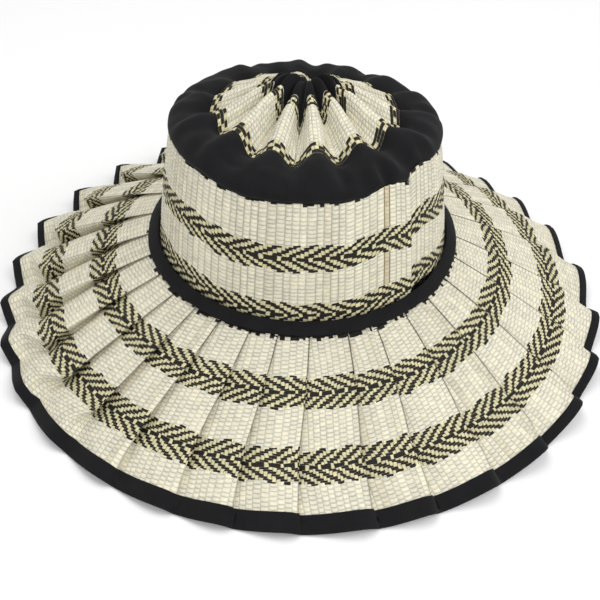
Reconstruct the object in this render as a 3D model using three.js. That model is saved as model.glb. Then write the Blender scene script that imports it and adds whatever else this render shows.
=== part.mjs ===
import * as THREE from 'three';

// A pleated sun hat of woven straw with black cotton trim, standing on the edge of its brim.
// Millimetres, +Z up, z = 0 at the surface it stands on, and the front of the hat towards -Y.
// An azimuth is in degrees, 0 at the front and growing towards +X. Radii and heights are
// measured square to the hat's own base ring, which leans a little on the surface.

const STRAW = 1.6;                 // thickness of the woven straw
const COTTON = 1.4;                // thickness of the black cotton, doubled
const GAP = 0.3;                   // clearance between two pieces

const LEAN_FORWARD = 2.36;         // degrees: deep pleats at the back lift the base ring
const LIFT = 11.8;                 // from the surface up to height 0 on the hat's own axis
const AXIS_X = 0.3;                // the axis stands here, to put the origin at the
const AXIS_Y = 2.6;                // middle of the hat's outline

const WALL_BASE_RADIUS = 94.5;     // outside of the crown wall where it meets the brim
const WALL_TOP_RADIUS = 82.8;
const WALL_BASE_HEIGHT = 46.9;
const WALL_TOP_HEIGHT = 122;
const WALL_COLUMNS = 96;
const SEAM_START = 31.5;           // the wall strip's two ends lap over each other here
const SEAM_END = 46;
const SEAM_STEP = 0.9;

const TOP_RISE_FORWARD = 0.08;     // the crown top leans back and a little to the right
const TOP_DROP_RIGHT = 0.025;

const BRIM_INNER_RADIUS = 93.1;
const HINGE_RADIUS = 97.5;         // every pleat of the brim swings about this ring
const HINGE_HEIGHT = 45.3;
const RIM_RISE = 0.2;              // the inner rim of the brim lies this much higher
const BRIM_LENGTH = 116.6;         // from the hinge ring to the edge, along the slope
const PLEATS = 30;
const FIRST_FOLD = 1;              // azimuth of the fold nearest the front
const RISE_AT_BAND = 0.6;          // half the height of a pleat beside the base band
const TWIST_AT_BAND = 2.5;         // degrees that a fold curves round, from its middle inwards

const TAPE_WIDTH = 9.5;            // binding seen on the top of the brim edge
const TAPE = 1;
const SOLE_WIDTH = 3.4;            // flat strip under the binding where it meets the surface
const SOLE_REACH = 2.2;            // what comes this near the surface is pressed flat on it

const TOP_PLEATS = 14;
const FIRST_RIDGE = 7.2;           // azimuth of the crown ridge nearest the front

// The long face of a pleat, from its fold up to its crest. The short face drops from the
// crest to the next fold.
const BRIM_PLEAT = [
  { across: 0.02, rise: -1 },
  { across: 0.22, rise: -0.94 },
  { across: 0.62, rise: 0.2 },
  { across: 0.98, rise: 1 },
];

// Round the hat: how far a fold has drifted from even spacing, the height of the crests at
// the brim edge, and the share of a pleat that its short face takes.
const BRIM_ROUND = [
  { azimuth: -180, drift: 0, crest: -10, short: 0.24 },
  { azimuth: -131, drift: 2.6, crest: -4, short: 0.25 },
  { azimuth: -95, drift: 7, crest: -0.5, short: 0.36 },
  { azimuth: -62, drift: 5.3, crest: 0.5, short: 0.3 },
  { azimuth: -38, drift: 6, crest: 1, short: 0.12 },
  { azimuth: -8, drift: 2.4, crest: 1.8, short: 0.08 },
  { azimuth: 16, drift: 0.9, crest: 2.4, short: 0.08 },
  { azimuth: 49, drift: -1.5, crest: 4, short: 0.08 },
  { azimuth: 80, drift: 0.3, crest: 0.8, short: 0.18 },
  { azimuth: 109, drift: 5, crest: -3.5, short: 0.22 },
  { azimuth: 145, drift: 2, crest: -9, short: 0.24 },
  { azimuth: 180, drift: 0, crest: -10, short: 0.24 },
];

// Share of the brim length at each row of the brim, and the extra rise of a pleat there.
const BRIM_ROWS = [
  { along: 0.04, swell: 0 },
  { along: 0.5, swell: 0.9 },
  { along: 1, swell: 0 },
];

// How far the top edge of the crown wall stands from its own plane, round the hat.
const WALL_EDGE = [
  { azimuth: -180, height: 0 },
  { azimuth: -95, height: 2 },
  { azimuth: -55, height: 2 },
  { azimuth: -20, height: -2.5 },
  { azimuth: 10, height: -1 },
  { azimuth: 36, height: 2 },
  { azimuth: 62, height: 5 },
  { azimuth: 180, height: 0 },
];

// One ridge of the crown top, from crest to crest.
const RIDGE = [
  { across: 0, lift: 1 },
  { across: 0.21, lift: 0.62 },
  { across: 0.39, lift: -0.36 },
  { across: 0.5, lift: -1 },
  { across: 0.61, lift: -0.36 },
  { across: 0.79, lift: 0.62 },
];

// Rows of the crown top from the pucker outwards: radius, height over the wall edge,
// half the height of a ridge, and how much further out a valley lies than a crest.
const CENTRE_ROWS = [
  { radius: 2.4, height: 23, lift: 0.3, spread: 0 },
  { radius: 5.5, height: 29, lift: 0.8, spread: 0 },
  { radius: 11, height: 31, lift: 1.6, spread: 0 },
  { radius: 16, height: 29.2, lift: 2.4, spread: 0 },
  { radius: 18.9, height: 25.9, lift: 3, spread: 0 },
];
const ROSETTE_ROWS = [
  { radius: 19.6, height: 25.4, lift: 3, spread: 0 },
  { radius: 33, height: 22, lift: 4.8, spread: 0.6 },
  { radius: 45, height: 17.5, lift: 6, spread: 1.4 },
  { radius: 55, height: 13.2, lift: 6.5, spread: 2.4 },
];
const PUFF_ROWS = [
  { radius: 55.7, height: 13, lift: 6.4, spread: 2.4 },
  { radius: 58.6, height: 12.7, lift: 5.2, spread: 2 },
  { radius: 65, height: 13.9, lift: 2.6, spread: 0.6 },
  { radius: 73.8, height: 12, lift: 1, spread: 0 },
  { radius: 80.4, height: 7.8, lift: 0.5, spread: 0 },
  { radius: 83.4, height: 3.4, lift: 0.2, spread: 0 },
  { radius: 82.4, height: 0.3, lift: 0, spread: 0 },
];

const COLOURS = { straw: 0xe4dfcb, cotton: 0x26262a };

const radians = (degrees) => THREE.MathUtils.degToRad(degrees);

const leaning = new THREE.Matrix4()
  .makeTranslation(AXIS_X, AXIS_Y, LIFT)
  .multiply(new THREE.Matrix4().makeRotationX(radians(LEAN_FORWARD)));

// A point of the leaning hat, from its place about the hat's own axis.
function place(azimuth, radius, height) {
  const angle = radians(azimuth);
  const point = new THREE.Vector3(radius * Math.sin(angle), -radius * Math.cos(angle), height);
  return point.applyMatrix4(leaning);
}

// Reads a table of rows by azimuth, easing from row to row.
function roundTable(table, azimuth, key) {
  const turn = THREE.MathUtils.euclideanModulo(azimuth + 180, 360) - 180;
  const next = table.findIndex((row, i) => i > 0 && turn <= row.azimuth);
  const from = table[next - 1];
  const to = table[next];
  const share = THREE.MathUtils.smoothstep(turn, from.azimuth, to.azimuth);
  return THREE.MathUtils.lerp(from[key], to[key], share);
}

// The six faces round a grid point, or fewer at a rim, give the direction of its offset:
// the vector whose share along each face normal is 1, so that walls keep their thickness.
function offsetAt(grid, column, row) {
  const columns = grid.length;
  const before = grid[(column + columns - 1) % columns];
  const here = grid[column];
  const after = grid[(column + 1) % columns];
  const normals = [];
  const addFace = (a, b, c) => {
    const normal = new THREE.Vector3().subVectors(b, a).cross(new THREE.Vector3().subVectors(c, a));
    normals.push(normal.normalize());
  };
  if (row > 0) {
    addFace(here[row], here[row - 1], before[row]);
    addFace(here[row], after[row], here[row - 1]);
  }
  if (row < here.length - 1) {
    addFace(here[row], before[row], here[row + 1]);
    addFace(here[row], here[row + 1], after[row]);
  }
  const total = new THREE.Vector3();
  normals.forEach((normal) => total.add(normal));
  total.normalize();
  const lean = normals.reduce((sum, normal) => sum + normal.dot(total), 0) / normals.length;
  return total.multiplyScalar(Math.min(1 / lean, 1.6));
}

// Each section is a closed loop of points. Neighbouring sections are joined all round.
function ringOfSections(sections) {
  const positions = [];
  const index = [];
  const count = sections[0].length;
  sections.forEach((section, s) => {
    const next = (s + 1) % sections.length;
    section.forEach((point, i) => {
      const j = (i + 1) % count;
      positions.push(point.x, point.y, point.z);
      index.push(s * count + i, next * count + i, next * count + j);
      index.push(s * count + i, next * count + j, s * count + j);
    });
  });
  const geometry = new THREE.BufferGeometry();
  geometry.setAttribute('position', new THREE.Float32BufferAttribute(positions, 3));
  geometry.setIndex(index);
  geometry.computeVertexNormals();
  return geometry;
}

// A wall on both sides of the middle surface that the grid describes. A column runs from
// the middle of the hat outwards and down. Only the rows first to last become the piece.
function wallFromGrid(grid, thickness, first = 0, last = grid[0].length - 1) {
  const sections = grid.map((column, c) => {
    const outer = [];
    const inner = [];
    for (let row = first; row <= last; row += 1) {
      const offset = offsetAt(grid, c, row).multiplyScalar(thickness / 2);
      outer.unshift(new THREE.Vector3().addVectors(column[row], offset));
      inner.push(new THREE.Vector3().subVectors(column[row], offset));
    }
    return [...outer, ...inner];
  });
  return ringOfSections(sections);
}

function piece(name, geometry, colour, roughness) {
  const material = new THREE.MeshStandardMaterial({ color: colour, roughness, metalness: 0 });
  const mesh = new THREE.Mesh(geometry, material);
  mesh.name = name;
  return mesh;
}

// Crown wall

function wallTop(azimuth) {
  const angle = radians(azimuth);
  const lean = TOP_RISE_FORWARD * Math.cos(angle) - TOP_DROP_RIGHT * Math.sin(angle);
  return WALL_TOP_HEIGHT + WALL_TOP_RADIUS * lean + roundTable(WALL_EDGE, azimuth, 'height');
}

// The lap at the seam stands proud above the base band and runs out beneath it.
function wallColumn(azimuth, step) {
  const middle = (radius) => radius - STRAW / 2;
  const waistRadius = (WALL_BASE_RADIUS + WALL_TOP_RADIUS) / 2;
  const waistHeight = (WALL_BASE_HEIGHT + wallTop(azimuth)) / 2;
  return [
    place(azimuth, middle(WALL_TOP_RADIUS) + step, wallTop(azimuth)),
    place(azimuth, middle(waistRadius) + step, waistHeight),
    place(azimuth, middle(WALL_BASE_RADIUS), WALL_BASE_HEIGHT),
  ];
}

function crownWall() {
  const plain = Array.from({ length: WALL_COLUMNS }, (_, i) => -180 + (i * 360) / WALL_COLUMNS);
  const columns = plain.map((azimuth) => {
    const lapped = azimuth > SEAM_START && azimuth < SEAM_END;
    return { azimuth, step: lapped ? SEAM_STEP : 0 };
  });
  [SEAM_START, SEAM_END].forEach((azimuth, side) => {
    columns.push({ azimuth: azimuth - 0.5, step: side * SEAM_STEP });
    columns.push({ azimuth: azimuth + 0.5, step: (1 - side) * SEAM_STEP });
  });
  columns.sort((a, b) => a.azimuth - b.azimuth);
  return wallFromGrid(columns.map(({ azimuth, step }) => wallColumn(azimuth, step)), STRAW);
}

// Crown top: gathered centre, pleated rosette and puffed ring, in one sweep of rows

function topGrid() {
  const rows = [...CENTRE_ROWS, ...ROSETTE_ROWS, ...PUFF_ROWS];
  const grid = [];
  for (let ridge = 0; ridge < TOP_PLEATS; ridge += 1) {
    RIDGE.forEach(({ across, lift }) => {
      const azimuth = FIRST_RIDGE + ((ridge + across) * 360) / TOP_PLEATS;
      const edge = wallTop(azimuth);
      grid.push(rows.map((row) => {
        const radius = row.radius - row.spread * lift;
        return place(azimuth, radius, edge + row.height + row.lift * lift);
      }));
    });
  }
  return grid;
}

// Brim

const EDGE_FOOT = (STRAW / 2 + GAP + TAPE) * Math.sqrt(1 - (HINGE_HEIGHT / BRIM_LENGTH) ** 2);

function foldAzimuth(fold) {
  const even = FIRST_FOLD + (fold * 360) / PLEATS;
  return even + roundTable(BRIM_ROUND, even, 'drift');
}

// The slope that lets the binding under a fold just touch the surface.
function foldSlope(azimuth) {
  const hinge = place(azimuth, HINGE_RADIUS, HINGE_HEIGHT).z;
  const out = place(azimuth, HINGE_RADIUS + 1, HINGE_HEIGHT).z - hinge;
  const up = place(azimuth, HINGE_RADIUS, HINGE_HEIGHT + 1).z - hinge;
  return Math.asin((hinge - EDGE_FOOT) / (BRIM_LENGTH * Math.hypot(out, up))) + Math.atan2(out, up);
}

function crestSlope(azimuth) {
  return Math.asin((HINGE_HEIGHT - roundTable(BRIM_ROUND, azimuth, 'crest')) / BRIM_LENGTH);
}

function brimColumns() {
  const columns = [];
  for (let pleat = 0; pleat < PLEATS; pleat += 1) {
    const start = foldAzimuth(pleat);
    const width = foldAzimuth(pleat + 1) - start;
    const longFace = width * (1 - roundTable(BRIM_ROUND, start, 'short'));
    BRIM_PLEAT.forEach(({ across, rise }) => {
      const azimuth = start + across * longFace;
      const slope = THREE.MathUtils.lerp(foldSlope(azimuth), crestSlope(azimuth), (rise + 1) / 2);
      columns.push({ azimuth, rise, slope });
    });
  }
  return columns;
}

function brimPoint({ azimuth, rise, slope }, along, swell) {
  const length = BRIM_LENGTH * along;
  const lift = rise * (RISE_AT_BAND * (1 - along) + swell);
  const radius = HINGE_RADIUS + length * Math.cos(slope);
  const twist = TWIST_AT_BAND * Math.max(0, 1 - 2 * along);
  return place(azimuth + twist, radius, HINGE_HEIGHT - length * Math.sin(slope) + lift);
}

function brimGrid(lastAlong) {
  return brimColumns().map((column) => {
    const rows = BRIM_ROWS.map(({ along, swell }) => brimPoint(column, Math.min(along, lastAlong), swell));
    const rim = place(column.azimuth + TWIST_AT_BAND, BRIM_INNER_RADIUS, HINGE_HEIGHT + RIM_RISE);
    return [rim, ...rows];
  });
}

function brim() {
  return wallFromGrid(brimGrid(1 - (TAPE + GAP) / BRIM_LENGTH), STRAW);
}

// The tape is folded over the edge: its section goes round the outside, then back inside.
function brimBinding() {
  const grid = brimGrid(1);
  const last = grid[0].length - 1;
  const inside = STRAW / 2 + GAP;
  const outside = inside + TAPE;
  const sections = grid.map((column, c) => {
    const edge = column[last];
    const inward = new THREE.Vector3().subVectors(column[last - 1], edge).normalize();
    const normal = offsetAt(grid, c, last);
    const point = (back, lift) => edge.clone().addScaledVector(inward, back).addScaledVector(normal, lift);
    const pressed = (back) => {
      const spot = point(back, -outside);
      spot.z = spot.z < SOLE_REACH ? 0 : spot.z;
      return spot;
    };
    return [
      pressed(SOLE_WIDTH),
      pressed(0.2),
      point(-0.5, 0),
      point(0.6, outside),
      point(TAPE_WIDTH, outside),
      point(TAPE_WIDTH, inside),
      point(TAPE, inside),
      point(TAPE, -inside),
      point(TAPE_WIDTH, -inside),
      point(TAPE_WIDTH, -outside),
    ];
  });
  return ringOfSections(sections);
}

// Base band: a flat tape that covers the join of wall and brim at a slant

const BAND_LINE = [
  { radius: 94.7, height: 52.2 },
  { radius: 102.3, height: 46.3 },
];

function baseBand() {
  const grid = [];
  for (let i = 0; i < WALL_COLUMNS; i += 1) {
    const azimuth = (i * 360) / WALL_COLUMNS;
    grid.push(BAND_LINE.map(({ radius, height }) => place(azimuth, radius, height)));
  }
  return wallFromGrid(grid, COTTON);
}

const top = topGrid();
const rosetteStart = CENTRE_ROWS.length;
const puffStart = rosetteStart + ROSETTE_ROWS.length;

const group = new THREE.Group();
group.add(
  piece('crown_wall', crownWall(), COLOURS.straw, 0.75),
  piece('centre_gather', wallFromGrid(top, COTTON, 0, rosetteStart - 1), COLOURS.cotton, 0.95),
  piece('crown_rosette', wallFromGrid(top, STRAW, rosetteStart, puffStart - 1), COLOURS.straw, 0.75),
  piece('crown_puff', wallFromGrid(top, COTTON, puffStart), COLOURS.cotton, 0.95),
  piece('base_band', baseBand(), COLOURS.cotton, 0.95),
  piece('brim', brim(), COLOURS.straw, 0.75),
  piece('brim_binding', brimBinding(), COLOURS.cotton, 0.95),
);

export default group;
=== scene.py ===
# %% [markdown]
# # A pleated sun hat of woven straw
#
# The real hat is made from woven straw matting. One long strip is folded into knife pleats
# for the brim, a second one is the upright wall of the crown, and a third is gathered into a
# rosette on top. Black cotton closes the crown, covers the join of wall and brim, and binds
# the edge. The lesson makes each piece as a sheet of mesh that follows the solid of the same
# name, and gives the sheets a weave that is partly relief and partly material.

# %% Load the solids
import math

import bpy
import numpy as np
from mathutils import Matrix, Vector


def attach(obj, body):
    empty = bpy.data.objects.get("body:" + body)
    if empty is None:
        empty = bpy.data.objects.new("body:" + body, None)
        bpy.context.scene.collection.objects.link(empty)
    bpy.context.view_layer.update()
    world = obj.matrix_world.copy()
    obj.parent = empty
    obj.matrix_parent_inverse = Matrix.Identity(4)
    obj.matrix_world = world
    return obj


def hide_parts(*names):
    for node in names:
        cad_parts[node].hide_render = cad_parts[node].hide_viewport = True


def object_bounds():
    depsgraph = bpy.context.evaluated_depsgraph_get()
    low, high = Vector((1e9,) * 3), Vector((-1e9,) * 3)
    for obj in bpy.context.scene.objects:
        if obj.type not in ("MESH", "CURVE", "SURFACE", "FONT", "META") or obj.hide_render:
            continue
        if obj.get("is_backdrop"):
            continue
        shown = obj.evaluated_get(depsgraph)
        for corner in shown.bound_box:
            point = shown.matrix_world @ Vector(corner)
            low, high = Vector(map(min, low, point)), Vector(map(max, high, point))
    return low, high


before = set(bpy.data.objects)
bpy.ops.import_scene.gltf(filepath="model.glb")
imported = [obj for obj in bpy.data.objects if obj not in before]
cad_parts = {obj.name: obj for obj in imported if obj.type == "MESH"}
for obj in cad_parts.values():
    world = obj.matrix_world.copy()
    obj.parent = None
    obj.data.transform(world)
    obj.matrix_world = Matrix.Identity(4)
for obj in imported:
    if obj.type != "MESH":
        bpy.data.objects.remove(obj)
cad_low, cad_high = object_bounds()
print("solids:", ", ".join(sorted(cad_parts)))

# %% [markdown]
# ## The hat's own axis
#
# The brim has deeper pleats at the back, so the hat tips forward a little where it stands.
# Every size below is measured about the hat's own axis: an azimuth in degrees from the front,
# and a radius and height in millimetres. One function turns them into metres on the surface,
# and it takes whole arrays, because a woven sheet has many thousands of points.

# %% From azimuth, radius and height to metres
MM = 0.001
LEAN_FORWARD = math.radians(2.36)
AXIS_FOOT = Vector((0.3, 2.6, 11.8)) * MM
hat_axis = Matrix.Translation(AXIS_FOOT) @ Matrix.Rotation(LEAN_FORWARD, 4, "X")


def place(azimuth, radius, height):
    """Points of the standing hat, in metres."""
    turn = np.radians(azimuth)
    parts = np.broadcast_arrays(radius * np.sin(turn), -radius * np.cos(turn), height)
    turned = np.array(hat_axis)
    return np.stack(parts, -1) * MM @ turned[:3, :3].T + turned[:3, 3]


def ease(x):
    x = np.clip(x, 0, 1)
    return x * x * (3 - 2 * x)


def round_hat(rows, azimuth):
    """Reads rows of (azimuth, value), easing from one row to the next."""
    at, value = np.array(rows, float).T
    turn = (np.asarray(azimuth, float) + 180) % 360 - 180
    k = np.clip(np.searchsorted(at, turn), 1, len(at) - 1)
    return value[k - 1] + (value[k] - value[k - 1]) * ease((turn - at[k - 1]) / (at[k] - at[k - 1]))


def through(rows, count):
    """A smooth curve through the rows of a table, as count rows."""
    rows = np.array(rows, float)
    ends = np.vstack([2 * rows[0] - rows[1], rows, 2 * rows[-1] - rows[-2]])
    at = np.linspace(0, len(rows) - 1, count)
    k = np.minimum(at.astype(int), len(rows) - 2)
    t = (at - k)[:, None]
    a, b, c, d = ends[k], ends[k + 1], ends[k + 2], ends[k + 3]
    return 0.5 * (2 * b + (c - a) * t + (2 * a - 5 * b + 4 * c - d) * t**2 + (3 * b - a - 3 * c + d) * t**3)


print("axis stands at", [round(x / MM, 1) for x in AXIS_FOOT], "mm")

# %% [markdown]
# ## Making a sheet from a grid
#
# Each piece is a grid of points, with a column for every step round the hat and a row for
# every step outwards. Its faces are worked out as one array, which is much quicker than adding
# them one by one. The grid's UV map doesn't hold a picture: on straw it counts straws along U
# and cross threads along V, so that a material can draw each thread where the mesh has it, and
# on cotton it is millimetres of cloth.

# %% Grid helpers
def normals_of(grid):
    """The outward direction at each point of a grid."""
    along_row = np.gradient(grid, axis=1)
    along_column = np.gradient(grid, axis=0)
    normal = np.cross(along_row, along_column)
    return normal / np.maximum(np.linalg.norm(normal, axis=-1, keepdims=True), 1e-12)


def raise_grid(grid, height):
    """Moves a grid's points outwards by a height in millimetres."""
    return grid + normals_of(grid) * np.asarray(height)[..., None] * MM


def make_sheet(name, grid, uv, material, node):
    """A mesh sheet from a grid of points, standing for a solid."""
    columns, rows = grid.shape[:2]
    corner = (np.arange(columns - 1)[:, None] * rows + np.arange(rows - 1)).ravel()
    faces = np.stack([corner, corner + 1, corner + rows + 1, corner + rows], -1)
    mesh = bpy.data.meshes.new(name)
    mesh.from_pydata(grid.reshape(-1, 3).tolist(), [], faces.tolist())
    threads = mesh.uv_layers.new(name="threads")
    threads.data.foreach_set("uv", uv.reshape(-1, 2)[faces.ravel()].astype(np.float32).ravel())
    mesh.polygons.foreach_set("use_smooth", np.ones(len(faces), bool))
    mesh.materials.append(material)
    piece = bpy.data.objects.new(name, mesh)
    bpy.context.scene.collection.objects.link(piece)
    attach(piece, "root")
    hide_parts(node)
    print(name, "has", 2 * len(faces), "triangles")
    return piece


def length_of(grid, row):
    """The length of one row of a grid, in metres."""
    return float(np.linalg.norm(np.diff(grid[:, row], axis=0), axis=1).sum())


ring = place(np.linspace(0, 360, 361)[:, None], 100.0, 0.0)
print("a ring of 200 mm across measures", round(length_of(ring, row=0) / MM, 1), "mm round")

# %% [markdown]
# ## Node helpers
#
# The materials are mostly sums on the UV map, and a long chain of Math nodes is hard to read
# when each one is made by hand. Short helpers keep it readable: one adds a node with its
# settings, one adds a Math node and wires its inputs, and others blend, bump or make a group.

# %% Short ways to add nodes
def add(tree, kind, **settings):
    made = tree.nodes.new(kind)
    for name, value in settings.items():
        setattr(made, name, value)
    return made


def feed(tree, socket, value):
    if isinstance(value, bpy.types.NodeSocket):
        tree.links.new(value, socket)
    else:
        socket.default_value = value


def sums(tree, operation, *values, clamp=False):
    made = add(tree, "ShaderNodeMath", operation=operation, use_clamp=clamp)
    for socket, value in zip(made.inputs, values):
        feed(tree, socket, value)
    return made.outputs[0]


def blend_colour(tree, share, low, high, kind="MIX"):
    made = add(tree, "ShaderNodeMix", data_type="RGBA", blend_type=kind)
    feed(tree, made.inputs["Factor"], share)
    for socket, value in zip((made.inputs[6], made.inputs[7]), (low, high)):
        feed(tree, socket, value if isinstance(value, bpy.types.NodeSocket) else (*value, 1))
    return made.outputs[2]


def blend_value(tree, share, low, high):
    made = add(tree, "ShaderNodeMix", data_type="FLOAT")
    for socket, value in zip((made.inputs["Factor"], made.inputs[2], made.inputs[3]), (share, low, high)):
        feed(tree, socket, value)
    return made.outputs[0]


def new_material(name, roughness, specular):
    """A material, its node tree and its shader."""
    material = bpy.data.materials.new(name)
    material.use_nodes = True
    shader = material.node_tree.nodes["Principled BSDF"]
    shader.inputs["Roughness"].default_value = roughness
    shader.inputs["Specular IOR Level"].default_value = specular
    return material, material.node_tree, shader


def add_bump(tree, shader, height, strength, distance):
    bump = add(tree, "ShaderNodeBump")
    bump.inputs["Strength"].default_value = strength
    bump.inputs["Distance"].default_value = distance * MM
    tree.links.new(height, bump.inputs["Height"])
    tree.links.new(bump.outputs[0], shader.inputs["Normal"])


def new_group(name, inputs, outputs):
    """A shader node group with named sockets, and the nodes that hold them."""
    tree = bpy.data.node_groups.new(name, "ShaderNodeTree")
    for label, kind, value in inputs:
        socket = tree.interface.new_socket(label, in_out="INPUT", socket_type=kind)
        if value is not None:
            socket.default_value = value
    for label in outputs:
        tree.interface.new_socket(label, in_out="OUTPUT", socket_type="NodeSocketFloat")
    return tree, add(tree, "NodeGroupInput").outputs, add(tree, "NodeGroupOutput").inputs


def use_group(tree, group, **values):
    made = add(tree, "ShaderNodeGroup", node_tree=group)
    for name, value in values.items():
        feed(tree, made.inputs[name.replace("_", " ")], value)
    return made.outputs


FLOAT, VECTOR = "NodeSocketFloat", "NodeSocketVector"
print("groups take sockets of", FLOAT, "and", VECTOR)

# %% [markdown]
# ## The plain weave
#
# The matting is straws laid side by side, held by a cross thread about every 2.5 mm. Each
# straw bulges between its threads, and the Step input says how much further along the next
# straw's bulges are: a third on the brim. A picture of matting could be laid over the mesh, but
# it would repeat and wouldn't meet the folds, so the weave is worked out from the UV map. The
# group gives the height of the bulges, a mask of painted shade for the seams between them, and a
# random number for each straw and each bulge, because no two straws have quite the same colour.

# %% Group: plain weave
def from_middle_of_cell(tree, value):
    """0 in the middle of each whole step of a value, 1 at its ends."""
    return sums(tree, "ABSOLUTE", sums(tree, "MULTIPLY_ADD", sums(tree, "FRACT", value), 2.0, -1.0))


def ramp(tree, value, start, slope):
    """0 up to a start, then rising with a slope, held below 1."""
    return sums(tree, "MULTIPLY", sums(tree, "SUBTRACT", value, start, clamp=True), slope, clamp=True)


def random_by(tree, *values):
    """A random number for each whole value, or pair of whole values."""
    noise = add(tree, "ShaderNodeTexWhiteNoise", noise_dimensions="2D")
    pair = add(tree, "ShaderNodeCombineXYZ")
    for socket, value in zip(pair.inputs, values):
        feed(tree, socket, value)
    tree.links.new(pair.outputs[0], noise.inputs["Vector"])
    return noise.outputs["Value"]


def plain_weave_group():
    tree, given, out = new_group(
        "plain weave",
        [("Threads", VECTOR, None), ("Side seams", FLOAT, 1.0), ("Step", FLOAT, 0.5), ("Loose", FLOAT, 0.2)],
        ["Height", "Seam", "Straw", "Bulge"],
    )
    split = add(tree, "ShaderNodeSeparateXYZ")
    tree.links.new(given["Threads"], split.inputs[0])
    straw = sums(tree, "FLOOR", split.outputs["X"])
    to_side = from_middle_of_cell(tree, split.outputs["X"])
    own = random_by(tree, straw, 3.0)
    along = sums(tree, "MULTIPLY_ADD", straw, given["Step"], split.outputs["Y"])
    along = sums(tree, "MULTIPLY_ADD", own, given["Loose"], along)
    along = sums(tree, "MULTIPLY_ADD", sums(tree, "POWER", to_side, 2.0), 0.13, along)
    thread = sums(tree, "FLOOR", along)
    to_thread = from_middle_of_cell(tree, along)
    across_round = sums(tree, "SUBTRACT", 1.0, sums(tree, "POWER", to_side, 4.0))
    dip = sums(tree, "MULTIPLY", sums(tree, "POWER", to_thread, 3.0), 0.7)
    along_round = sums(tree, "SUBTRACT", 1.0, dip)
    tree.links.new(sums(tree, "MULTIPLY", across_round, along_round), out["Height"])
    bulge = random_by(tree, straw, thread)
    # Painted shade: the seams between the bulges are darkened where the hollows would lie in shade.
    side_strength = sums(tree, "MULTIPLY_ADD", own, 0.6, 0.4)
    side_seam_shade = sums(tree, "MULTIPLY", ramp(tree, to_side, 0.74, 4.5), side_strength)
    side_seam_shade = sums(tree, "MULTIPLY", side_seam_shade, given["Side seams"])
    thread_strength = sums(tree, "MULTIPLY_ADD", bulge, 0.4, 0.22)
    thread_seam_shade = sums(tree, "MULTIPLY", ramp(tree, to_thread, 0.55, 2.2), thread_strength)
    tree.links.new(sums(tree, "MAXIMUM", side_seam_shade, thread_seam_shade), out["Seam"])
    tree.links.new(random_by(tree, straw, 7.0), out["Straw"])
    tree.links.new(bulge, out["Bulge"])
    return tree


plain_weave = plain_weave_group()
print("plain weave:", len(plain_weave.nodes), "nodes")

# %% [markdown]
# ## The chevron rows
#
# In some rows a black thread crosses the straws over two and under two, one half straw further
# along in each row, and turns back at the middle of the band. That is a herringbone twill, an
# old and common weave. Single threads could be modelled, but there are thousands of them, and
# one sum gives them all: the row counted from the middle, plus or minus the half straw, is
# black for two steps of every four, and for three in the middle row. Between the black threads
# each half straw comes up for two rows, as a small bead, with painted shade in the gaps beside
# it. A slow noise bends the rows and some lines stop a row early, because the mat is woven by
# hand.

# %% Group: chevron rows
def chevron_group():
    tree, given, out = new_group(
        "chevron rows",
        [
            ("Threads", VECTOR, None), ("Middle", FLOAT, 0.0), ("Reach", FLOAT, 7.0),
            ("Way", FLOAT, 1.0), ("Thickness", FLOAT, 1.0),
        ],
        ["Band", "Ground", "Black", "Gap shade", "Height"],
    )
    bend = add(tree, "ShaderNodeTexNoise", noise_dimensions="2D")
    bend.inputs["Scale"].default_value = 0.5
    tree.links.new(given["Threads"], bend.inputs["Vector"])
    sway = add(tree, "ShaderNodeSeparateColor")
    tree.links.new(bend.outputs["Color"], sway.inputs[0])
    split = add(tree, "ShaderNodeSeparateXYZ")
    tree.links.new(given["Threads"], split.inputs[0])
    across = sums(tree, "MULTIPLY_ADD", sway.outputs[0], 0.5, split.outputs["X"])
    away = sums(tree, "SUBTRACT", sums(tree, "ADD", sway.outputs[1], split.outputs["Y"]), given["Middle"])
    away = sums(tree, "SUBTRACT", away, 0.5)
    half = sums(tree, "MULTIPLY", across, 2.0)
    from_middle = sums(tree, "MULTIPLY", sums(tree, "ABSOLUTE", away), 2.0)
    half_straw, row = sums(tree, "FLOOR", half), sums(tree, "FLOOR", from_middle)
    count = sums(tree, "MULTIPLY_ADD", half_straw, given["Way"], row)
    turn = sums(tree, "FLOORED_MODULO", count, 4.0)
    line = random_by(tree, sums(tree, "FLOOR", sums(tree, "DIVIDE", count, 4.0)), sums(tree, "SIGN", away))
    reach = sums(tree, "SUBTRACT", given["Reach"], sums(tree, "GREATER_THAN", line, 0.55))
    band = sums(tree, "LESS_THAN", row, reach)
    limit = sums(tree, "ADD", sums(tree, "LESS_THAN", row, 0.5), 1.5)
    is_black = sums(tree, "LESS_THAN", turn, limit)
    to_side = from_middle_of_cell(tree, half)
    to_row = from_middle_of_cell(tree, from_middle)
    past_first = sums(tree, "GREATER_THAN", from_middle, 1.0)
    across_thread = sums(tree, "MINIMUM", to_row, sums(tree, "ADD", from_middle, past_first))
    is_black = sums(tree, "MULTIPLY", is_black, sums(tree, "LESS_THAN", across_thread, given["Thickness"]))
    # Painted shade: the gaps beside each bead are darkened, and they also dip in the bump.
    bead_gap_relief_and_shade = sums(tree, "MULTIPLY", ramp(tree, to_side, 0.66, 3.2), 0.75)
    tree.links.new(band, out["Band"])
    ground_reach = sums(tree, "SUBTRACT", given["Reach"], 1.5)
    tree.links.new(sums(tree, "LESS_THAN", row, ground_reach), out["Ground"])
    tree.links.new(sums(tree, "MULTIPLY", is_black, band), out["Black"])
    tree.links.new(sums(tree, "MULTIPLY", bead_gap_relief_and_shade, band), out["Gap shade"])
    bead_height = sums(tree, "SUBTRACT", 1.0, bead_gap_relief_and_shade)
    thread_height = sums(tree, "SUBTRACT", 0.8, sums(tree, "MULTIPLY", sums(tree, "POWER", to_row, 3.0), 0.6))
    tree.links.new(blend_value(tree, is_black, bead_height, thread_height), out["Height"])
    return tree


chevron_rows = chevron_group()
print("chevron rows:", len(chevron_rows.nodes), "nodes")

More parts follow.
